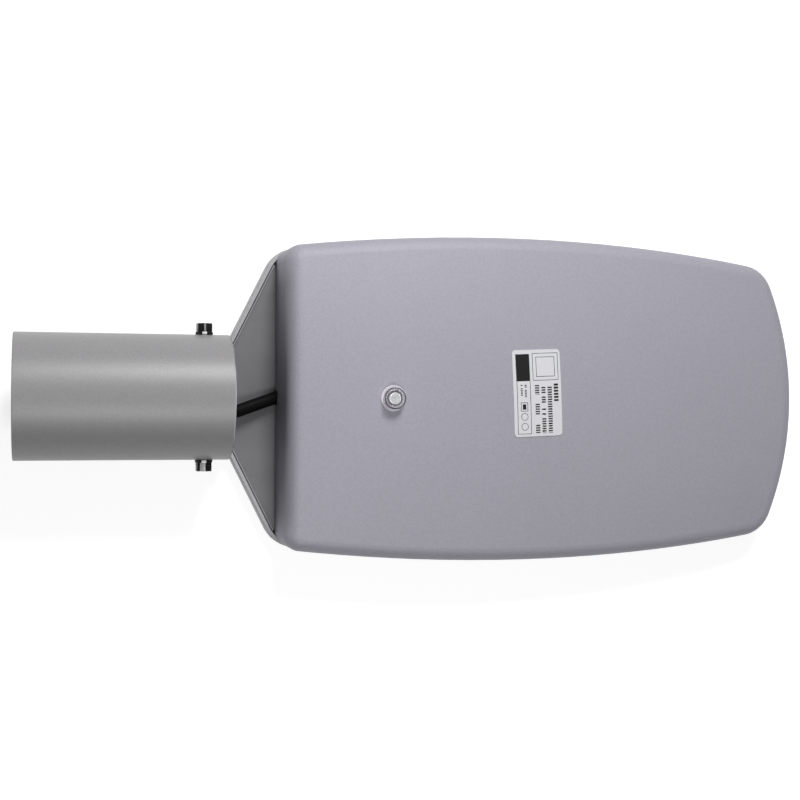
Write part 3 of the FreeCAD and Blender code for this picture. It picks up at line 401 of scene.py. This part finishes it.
def make_tube():
    paint = bpy.context.scene.head_paint
    # The tube's end gets a painted highlight along its upper edge
    tube_coat = powder_coat("tube powder coat", paint.tube, 0.42, 0.012 * MM, 0.015 * MM,
                            highlight_from=TUBE_END - 0.35 * MM)
    dress(tube_coat, "mounting_tube")
    dress(powder_coat("nut powder coat", paint.tube, 0.38, 0.012 * MM, 0.015 * MM), "clamp_nuts")


def make_neck():
    paint = bpy.context.scene.head_paint
    dress(cast_coat("neck cast coat", paint.neck, 0.5, cable_route()[0]), "neck_bracket")


def softened(name, width, material, slot_name):
    """Stands for a CAD node with the same form and its sharp edges broken."""

    def broken(shape):
        shape.from_mesh(nodes[name].data)
        bmesh.ops.remove_doubles(shape, verts=shape.verts, dist=0.001 * MM)
        bmesh.ops.dissolve_limit(shape, angle_limit=radians(1), verts=shape.verts, edges=shape.edges)
        sharp = [edge for edge in shape.edges if edge.is_manifold and edge.calc_face_angle() > radians(40)]
        bmesh.ops.bevel(shape, geom=sharp, offset=width, offset_type="OFFSET", segments=2, profile=0.5,
                        affect="EDGES", clamp_overlap=True, material=-1)

    stand_in(piece_from(broken, name + "_edged"), material, slot_name, name)


def black_oxide():
    """Black steel, with painted highlights and reflections on flats and corners of the two heads and on their
    washers.
    """
    recipe = Recipe("black oxide steel", (0.012, 0.0115, 0.012), 0.35, Specular_IOR_Level=0.4)
    along, side, height = recipe.axes((BOLTS_AT.x, 0, BOLTS_AT.z))
    head_from = BOLT_REACH - BOLT_HEAD
    either_side = side.math("ABSOLUTE")
    # Painted highlights in bands along the head, in millimetres from the bolts' axis: corner line, upper head, lower
    # head and washers
    edges = either_side.over(head_from) * along.between(-4.5, -3.5) * 0.4
    upper = side.over(head_from) * along.between(-0.5, 0.5) * 0.3
    lower = (side * -1.0).over(head_from) * along.between(-2.2, 0.6) * along.ramp(-1.2, -0.4, 0.75, 1.0)
    washer = either_side.between(head_from - WASHER_THICKNESS, head_from) * along.between(-1.5, 1.0)
    # Noise that roughens the steel and breaks up the painted highlights
    scuff_and_glint = recipe.noise(0.7 * MM, 3.0).ramp(0.25, 0.6, 0.85, 1.0)
    painted_glint = upper.either(lower).either(edges).either(washer) * height.over(0.5) * scuff_and_glint
    recipe.put(Base_Color=recipe.blend(painted_glint, recipe.base, (0.95, 0.95, 0.95)))
    recipe.put(Metallic=painted_glint * 0.3)
    recipe.put(Roughness=scuff_and_glint * 0.2 + 0.2)
    recipe.put(Normal=recipe.bump(scuff_and_glint, 0.02 * MM))
    return recipe.material


def make_fasteners():
    zinc = plated_steel("zinc plated steel", (0.56, 0.56, 0.55), 0.3)
    dress(zinc, "bracket_screws", "board_screws", "driver_screws", "terminal_screws", "earth_screw", "grip_screws")
    for name, width in (("frame_screws", 0.25), ("clamp_bolts", 0.35), ("clip_screws", 0.15), ("glass_clips", 0.25)):
        softened(name, width * MM, zinc, "zinc_steel")
    black = black_oxide()
    softened("tube_bolts", 0.3 * MM, black, "black_steel")
    softened("spring_washers", 0.2 * MM, black, "black_steel")


def cable_route():
    """Points of the supply cable from just inside the rear wall to its cut end in the tube, in metres."""
    exit_at = Vector((140.1, 0.0, 12.3))
    turns = [Vector((128.0, -4.1, 13.5)), Vector((115.0, -8.8, 16.6)), Vector((103.0, -10.2, 18.4))]
    end = Vector((90.0, -10.5, 18.8))
    inside = exit_at + (exit_at - turns[0]).normalized()
    lower = Vector((0, 0, UNDERSIDE))
    return exit_at * MM + lower, [point * MM + lower for point in (inside, *turns, end)]


def make_cable():
    sizes = bpy.context.scene.head_cable
    exit_at, points = cable_route()
    curve = bpy.data.curves.new("supply_cable_sheath", "CURVE")
    curve.dimensions = "3D"
    curve.bevel_depth = sizes.diameter / 2
    curve.bevel_resolution = 10
    curve.use_fill_caps = True
    spline = curve.splines.new("NURBS")
    spline.points.add(len(points) - 1)
    for control, point in zip(spline.points, points):
        control.co = (*point, 1.0)
    spline.order_u = 3
    spline.use_endpoint_u = True
    spline.resolution_u = 16
    sheath = bpy.data.objects.new("supply_cable_sheath", curve)
    bpy.context.scene.collection.objects.link(sheath)
    material = moulded("black cable sheath", sizes.colour, 0.55, 0.35 * MM, 0.006 * MM, Specular_IOR_Level=0.07)
    stand_in(sheath, material, "cable_black", "supply_cable")
    dress(material, "inner_cable")
    dress(core_colours(), "cable_cores", "inner_leads", "lamp_leads", "sensor_leads")


def core_colours():
    """Brown, blue and earth cores side by side, told apart by their place across the head."""
    recipe = Recipe("core sheaths", CORE_BROWN, 0.3)
    across = recipe.axes()[1]
    with_blue = recipe.blend(across.over(18.0), CORE_BROWN, (0.02, 0.07, 0.30))
    recipe.put(Base_Color=recipe.blend(across.over(28.0), with_blue, (0.32, 0.34, 0.03)))
    grain = recipe.noise(0.4 * MM)
    recipe.put(Roughness=grain * 0.2 + 0.22)
    return recipe.material


def make_wiring():
    dress(moulded("terminal plastic", (0.30, 0.31, 0.33), 0.5), "terminal_block")
    dress(moulded("grip plastic", (0.05, 0.05, 0.055), 0.5), "cord_grip", "sensor_nut")
    dress(moulded("seal rubber", (0.022, 0.022, 0.024), 0.62, 0.4 * MM, 0.015 * MM), "cable_grommet", "frame_gasket",
          "glass_gasket")
    case = Recipe("drawn aluminium case", (0.62, 0.62, 0.64), 0.36, Metallic=1.0)
    grain = case.noise(0.5 * MM, stretch=(0.04, 1.0, 1.0))
    case.put(Base_Color=case.shade(grain, 0.10))
    case.put(Roughness=grain * 0.25 + 0.24)
    case.put(Normal=case.bump(grain, 0.01 * MM))
    dress(case.material, "driver_case")


def make_sensor():
    ring = Recipe("sensor base", (0.74, 0.71, 0.78), 0.4)
    x, y, _ = ring.axes(SENSOR_AT)
    grain = ring.noise(0.4 * MM)
    # Painted shade: a dark ring round the cell for the shadowed gap under the cap
    seal = distance(x, y).under(SENSOR_SHADE)
    ring.put(Base_Color=ring.blend(seal, ring.shade(grain, 0.06), (0.02, 0.018, 0.02)))
    ring.put(Roughness=grain * 0.2 + 0.3)
    dress(ring.material, "sensor_base")

    dress(clear("sensor cap", (0.95, 0.94, 0.97), 0.04, 1.38, clarity=0.965), "sensor_cap")

    cell = Recipe("photocell face", (0.52, 0.555, 0.51), 0.28, Coat_Weight=0.6)
    x, y, _ = cell.axes(SENSOR_AT, radians(-30))
    winding = y + (x * 3.4).math("SINE") * 0.55
    track = winding.repeated(1.15).math("ABSOLUTE").under(0.2) * distance(x, y).under(2.2)
    speck = cell.noise(0.8 * MM, 2.0)
    face = cell.blend(distance(x, y).over(CELL_FACE), cell.shade(speck, 0.2), (0.80, 0.81, 0.80))
    cell.put(Base_Color=cell.blend(track * 0.55, face, (0.22, 0.25, 0.22)))
    cell.put(Normal=cell.bump(speck, 0.02 * MM))
    dress(cell.material, "photocell")


def make_label():
    """Coated paper with plain printed shapes: a block, thin frames and rows of short bars."""
    style = bpy.context.scene.head_label
    recipe = Recipe("label paper", style.paper, 0.38)
    across, up, _ = recipe.axes(LABEL_AT, style.turn)
    right = across + style.width / 2 / MM
    down = style.height / 2 / MM - up
    stroke = style.stroke / MM

    def field(x0, x1, y0, y1):
        return right.between(x0, x1) * down.between(y0, y1)

    def outline(x0, x1, y0, y1):
        return field(x0, x1, y0, y1) * (1 - field(x0 + stroke, x1 - stroke, y0 + stroke, y1 - stroke))

    def bars(x0, x1, y0, y1, pitch, share):
        """Row of short bars down the label, of which chance leaves some out."""
        along = (down - y0).math("FLOORED_MODULO", pitch).under(pitch * share)
        step = ((down - y0) / pitch).math("FLOOR") + x0
        chance = recipe.node("ShaderNodeTexWhiteNoise", {"noise_dimensions": "1D"}, {"W": step})
        return field(x0, x1, y0, y1) * along * Wire(recipe, chance.outputs["Value"]).over(0.18)

    def circle(x, y, r):
        return distance(right - x, down - y).between(r - stroke, r)

    ink = field(1.95, 10.2, 2.4, 17.4)
    # In millimetres from the label's upper left corner: left, right, top and bottom, or a circle's centre and radius
    shapes = [
        outline(2.1, 10.3, 17.2, 47.1), outline(11.9, 27.4, 2.0, 17.4), outline(14.0, 25.3, 4.1, 15.3),
        bars(4.4, 5.5, 19.6, 26.8, 0.9, 0.62), bars(6.8, 7.9, 19.6, 26.8, 0.9, 0.62),
        outline(4.2, 8.4, 29.4, 34.4), field(5.3, 7.3, 30.4, 33.4), circle(6.3, 37.4, 2.1), circle(6.3, 43.0, 2.1),
        bars(24.3, 27.0, 19.4, 29.8, 1.75, 0.66), bars(20.5, 23.1, 19.7, 47.0, 1.35, 0.6),
        bars(16.8, 19.2, 19.7, 47.0, 1.35, 0.6), bars(12.9, 15.5, 19.9, 25.3, 1.3, 0.6),
        bars(12.9, 15.5, 30.4, 37.1, 1.3, 0.6), bars(12.9, 15.5, 42.2, 46.8, 1.3, 0.6),
    ]
    for shape in shapes:
        ink = ink.either(shape)
    fibre = recipe.noise(0.6 * MM, 3.0)
    recipe.put(Base_Color=recipe.blend(ink, recipe.shade(fibre, 0.03), style.ink))
    recipe.put(Roughness=ink * -0.1 + fibre * 0.1 + 0.36)
    recipe.put(Normal=recipe.bump(fibre, 0.004 * MM))
    dress(recipe.material, "rating_label")


def make_lamps():
    pitch_x, pitch_y = LAMP_PITCH
    board = Recipe("white lamp board", (0.80, 0.80, 0.78), 0.3, Coat_Weight=0.4)
    x, y, _ = board.axes(MODULE_AT)
    rows = (y - pitch_y / 2).repeated(pitch_y).math("ABSOLUTE").between(2.2, 7.6)
    traces = rows * x.repeated(pitch_x).math("ABSOLUTE").under(7.4)
    mask = board.noise(2.0 * MM, 2.0)
    board.put(Base_Color=board.blend(traces, board.shade(mask, 0.02), (0.72, 0.73, 0.70)))
    board.put(Roughness=mask * 0.1 + 0.25)
    board.put(Normal=board.bump(traces, 0.03 * MM))
    dress(board.material, "led_board")

    chip = Recipe("lamp face", (0.80, 0.80, 0.78), 0.35)
    x, y, _ = chip.axes(MODULE_AT)
    lit = distance((x - pitch_x / 2).repeated(pitch_x), (y - pitch_y / 2).repeated(pitch_y)).under(LAMP_FACE)
    grain = chip.noise(0.25 * MM)
    chip.put(Base_Color=chip.blend(lit, chip.shade(grain, 0.03), (0.78, 0.58, 0.07)))
    chip.put(Roughness=grain * 0.2 + 0.3)
    dress(chip.material, "led_chips")

    dress(clear("moulded lenses", (0.97, 0.98, 0.98), 0.03, 1.49), "lens_array")
    dress(moulded("white surround", (0.76, 0.76, 0.76), 0.35, 0.6 * MM, 0.006 * MM, 0.02), "reflector_frame")
    dress(clear("toughened glass", (0.93, 0.975, 0.955), 0.01, 1.52), "cover_glass")


def make_floor(stage):
    """Pale floor that shows white to the camera, glass and gloss, its shadow kept, and meets the backdrop far out."""

    def square(shape):
        at = Matrix.Translation((FLOOR_MIDDLE[0], FLOOR_MIDDLE[1], UNDERSIDE - FLOOR_GAP))
        bmesh.ops.create_grid(shape, x_segments=1, y_segments=1, size=FLOOR_SIDE / 2, matrix=at)

    floor = piece_from(square, "floor")
    recipe = Recipe("pale floor", stage.floor, 0.9, Emission_Strength=1.0)
    path = recipe.node("ShaderNodeLightPath")
    seen = Wire(recipe, path.outputs["Is Camera Ray"])
    for ray in ("Is Glossy Ray", "Is Transmission Ray"):
        seen = seen.either(Wire(recipe, path.outputs[ray]))
    x, y, _ = recipe.axes(FLOOR_MIDDLE)
    recipe.put(Emission_Color=seen * distance(x, y).ramp(*FLOOR_FADE, FLOOR_SHOWN, 1.0))
    floor.data.materials.append(recipe.material)


def make_room(stage):
    """Room light from above that fades to the sides, and a white backdrop for the camera, for glass and, up to
    BACKDROP_TOP, for gloss."""
    world = bpy.data.worlds.new("room")
    bpy.context.scene.world = world
    world.use_nodes = True
    tree = Tree(world.node_tree)
    path = tree.node("ShaderNodeLightPath")
    split = tree.node("ShaderNodeSeparateXYZ", {}, {0: tree.node("ShaderNodeTexCoord").outputs["Generated"]})
    up = Wire(tree, split.outputs["Z"]).either(0.0)
    gloss = Wire(tree, path.outputs["Is Glossy Ray"]) * up.under(BACKDROP_TOP)
    seen = Wire(tree, path.outputs["Is Camera Ray"]).either(gloss)
    seen = seen.either(Wire(tree, path.outputs["Is Transmission Ray"]))
    room = tree.node("ShaderNodeBackground", {}, {"Color": (1, 1, 1, 1), "Strength": up * up * stage.room})
    white = tree.node("ShaderNodeBackground", {}, {"Color": (1, 1, 1, 1), "Strength": 1.0})
    mixed = tree.node("ShaderNodeMixShader", {}, {0: seen, 1: room.outputs[0], 2: white.outputs[0]})
    tree.node("ShaderNodeOutputWorld", {}, {"Surface": mixed.outputs[0]})


def make_lamp(name, place, size, power):
    light = bpy.data.lights.new(name, "AREA")
    light.shape = "RECTANGLE"
    light.size, light.size_y = size
    light.energy = power
    lamp = bpy.data.objects.new(name, light)
    bpy.context.scene.collection.objects.link(lamp)
    lamp.location = place
    lamp.rotation_mode = "QUATERNION"
    lamp.rotation_quaternion = (Vector(LAMPS_AIM) - Vector(place)).to_track_quat("-Z", "Y")


def make_camera(stage):
    data = bpy.data.cameras.new("camera")
    data.sensor_width = 36.0
    data.lens = stage.lens / MM
    data.clip_start, data.clip_end = 0.01, 50
    camera = bpy.data.objects.new("camera", data)
    bpy.context.scene.collection.objects.link(camera)
    look = Vector((sin(stage.tilt), 0, -cos(stage.tilt)))
    side = Vector((cos(stage.tilt), 0, sin(stage.tilt)))
    right = side * cos(stage.roll) + Vector((0, 1, 0)) * sin(stage.roll)
    up = Vector((0, 1, 0)) * cos(stage.roll) - side * sin(stage.roll)
    turn = Matrix((right, up, -look)).transposed().to_4x4()
    camera.matrix_world = Matrix.Translation(stage.camera_at) @ turn
    bpy.context.scene.camera = camera


def make_stage():
    scene = bpy.context.scene
    stage = scene.head_stage
    scene.view_settings.view_transform = "Standard"
    make_camera(stage)
    make_floor(stage)
    make_room(stage)
    make_lamp("key", place=(0.28, 0.85, 0.80), size=(0.3, 0.45), power=stage.key)
    make_lamp("fill", place=(0.12, -0.50, 0.94), size=(0.3, 0.3), power=stage.fill)


class LIGHTHEAD_OT_stage(bpy.types.Operator):
    """Camera, floor, room and lamps"""

    bl_idname = "lighthead.stage"
    bl_label = "Stage"

    def execute(self, context):
        make_stage()
        return {"FINISHED"}


class LIGHTHEAD_OT_cable(bpy.types.Operator):
    """Supply cable, its cores and the leads"""

    bl_idname = "lighthead.cable"
    bl_label = "Cable"

    def execute(self, context):
        make_cable()
        return {"FINISHED"}


class LIGHTHEAD_OT_housing(bpy.types.Operator):
    """Finish of the housing and the bottom frame"""

    bl_idname = "lighthead.housing"
    bl_label = "Housing"

    def execute(self, context):
        make_housing()
        return {"FINISHED"}


class LIGHTHEAD_OT_tube(bpy.types.Operator):
    """Finish of the arm tube and its weld nuts"""

    bl_idname = "lighthead.tube"
    bl_label = "Tube"

    def execute(self, context):
        make_tube()
        return {"FINISHED"}


class LIGHTHEAD_OT_neck(bpy.types.Operator):
    """Finish of the neck's casting"""

    bl_idname = "lighthead.neck"
    bl_label = "Neck"

    def execute(self, context):
        make_neck()
        return {"FINISHED"}


class LIGHTHEAD_OT_fasteners(bpy.types.Operator):
    """Finish of bolts, screws and clips, their edges broken"""

    bl_idname = "lighthead.fasteners"
    bl_label = "Fasteners"

    def execute(self, context):
        make_fasteners()
        return {"FINISHED"}


class LIGHTHEAD_OT_wiring(bpy.types.Operator):
    """Finish of terminals, seals and power supply"""

    bl_idname = "lighthead.wiring"
    bl_label = "Wiring"

    def execute(self, context):
        make_wiring()
        return {"FINISHED"}


class LIGHTHEAD_OT_sensor(bpy.types.Operator):
    """Finish of the light sensor on the crown"""

    bl_idname = "lighthead.sensor"
    bl_label = "Light sensor"

    def execute(self, context):
        make_sensor()
        return {"FINISHED"}


class LIGHTHEAD_OT_label(bpy.types.Operator):
    """Paper label with plain printed shapes"""

    bl_idname = "lighthead.label"
    bl_label = "Label"

    def execute(self, context):
        make_label()
        return {"FINISHED"}


class LIGHTHEAD_OT_lamps(bpy.types.Operator):
    """Finish of lamp board, lenses, surround and glass"""

    bl_idname = "lighthead.lamps"
    bl_label = "Lamps"

    def execute(self, context):
        make_lamps()
        return {"FINISHED"}


operators = [
    LIGHTHEAD_OT_stage,
    LIGHTHEAD_OT_cable,
    LIGHTHEAD_OT_housing,
    LIGHTHEAD_OT_tube,
    LIGHTHEAD_OT_neck,
    LIGHTHEAD_OT_fasteners,
    LIGHTHEAD_OT_wiring,
    LIGHTHEAD_OT_sensor,
    LIGHTHEAD_OT_label,
    LIGHTHEAD_OT_lamps,
]


class LIGHTHEAD_PT_panel(bpy.types.Panel):
    """Sizes, colours and steps of the light head"""

    bl_label = "Light head"
    bl_idname = "LIGHTHEAD_PT_panel"
    bl_space_type = "VIEW_3D"
    bl_region_type = "UI"
    bl_category = "Light Head"

    def draw(self, context):
        scene = context.scene
        for group in (scene.head_paint, scene.head_cable, scene.head_label, scene.head_stage):
            box = self.layout.box()
            for key in group.bl_rna.properties.keys():
                if key not in ("rna_type", "name"):
                    box.prop(group, key)
        for operator in operators:
            self.layout.operator(operator.bl_idname)


groups = {"head_paint": HeadPaint, "head_cable": HeadCable, "head_label": HeadLabel, "head_stage": HeadStage}


def register():
    for cls in [*groups.values(), *operators, LIGHTHEAD_PT_panel]:
        bpy.utils.register_class(cls)
    for name, cls in groups.items():
        setattr(bpy.types.Scene, name, PointerProperty(type=cls))


def unregister():
    for name in groups:
        delattr(bpy.types.Scene, name)
    for cls in [LIGHTHEAD_PT_panel, *operators, *groups.values()]:
        bpy.utils.unregister_class(cls)


def main():
    register()
    bpy.ops.lighthead.stage()
    bpy.ops.lighthead.cable()
    bpy.ops.lighthead.housing()
    bpy.ops.lighthead.tube()
    bpy.ops.lighthead.neck()
    bpy.ops.lighthead.fasteners()
    bpy.ops.lighthead.wiring()
    bpy.ops.lighthead.sensor()
    bpy.ops.lighthead.label()
    bpy.ops.lighthead.lamps()


if __name__ == "__main__":
    main()
